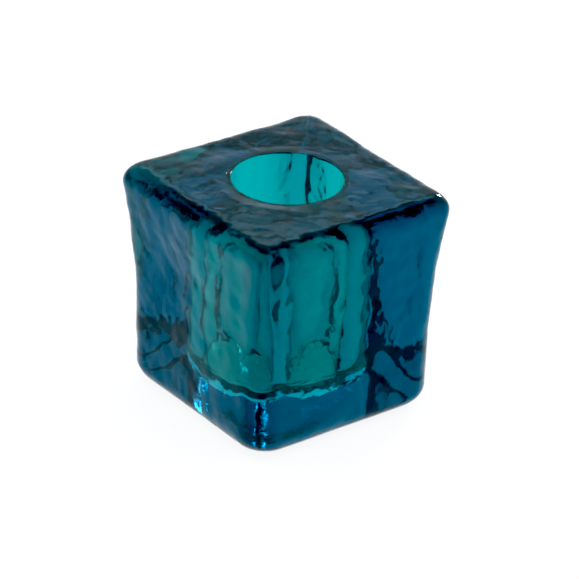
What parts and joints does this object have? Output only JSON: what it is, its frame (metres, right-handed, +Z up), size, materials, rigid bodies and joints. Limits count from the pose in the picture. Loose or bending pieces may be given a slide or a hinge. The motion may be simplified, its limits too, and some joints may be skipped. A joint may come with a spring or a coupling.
{
  "type": "glass cube candle holder",
  "caption": "Thick flared cube of blue glass with a round mouth, lined with a sea-green glass cup that forms its deep well.",
  "frame": {"origin": "middle of the flat base, where the block rests", "axes": "+Z up out of the mouth; +X and +Y square to the block's side faces"},
  "size_m": [0.0496, 0.0496, 0.0494],
  "materials": {
    "blue_glass": "cast and fire-polished, rippled deep blue",
    "green_glass": "mould-blown, wavy sea green"
  },
  "bodies": {
    "root": {"outer_block": "blue_glass", "inner_cup": "green_glass"}
  },
  "joints": []
}
